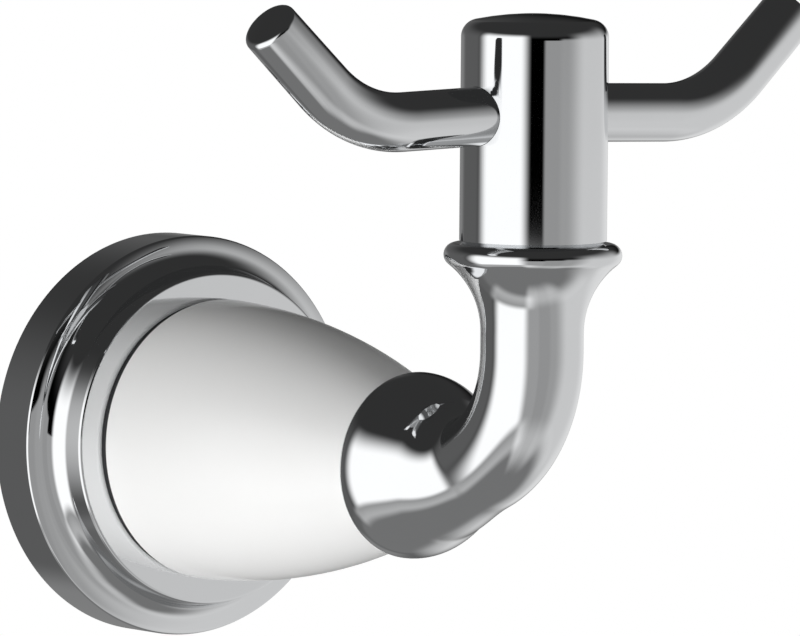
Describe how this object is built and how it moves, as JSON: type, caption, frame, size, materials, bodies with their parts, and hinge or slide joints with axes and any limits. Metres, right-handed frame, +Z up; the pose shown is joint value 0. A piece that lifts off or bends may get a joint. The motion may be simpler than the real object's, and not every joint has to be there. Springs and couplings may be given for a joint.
{
  "type": "double robe hook",
  "caption": "Wall-mounted double robe hook: a stepped round rosette, a tapering ceramic bell, a bent arm with a flared collar, and an upright post with a bent prong on each side.",
  "frame": {"origin": "on the wall plane, at the centre of the wall plate's back and on the axis of the rosette and the bell", "axes": "+X along the wall, to the right of someone who faces the hook; +Y into the wall; +Z up"},
  "size_m": [0.0954, 0.0968, 0.094],
  "materials": {
    "chrome_plate": "mirror-polished chrome plate",
    "white_porcelain": "white glaze",
    "zinc_plated_steel": "dull zinc plate",
    "gasket": "matt black"
  },
  "bodies": {
    "root": {"wall_plate": "zinc_plated_steel", "rosette": "chrome_plate", "set_screw": "zinc_plated_steel", "base_gasket": "gasket", "porcelain_bell": "white_porcelain", "tip_gasket": "gasket", "tie_stud": "zinc_plated_steel", "tie_washer": "zinc_plated_steel", "tie_nut": "zinc_plated_steel", "elbow_arm": "chrome_plate", "post_stud": "zinc_plated_steel", "hook_post": "chrome_plate", "right_prong": "chrome_plate", "left_prong": "chrome_plate"}
  },
  "joints": []
}
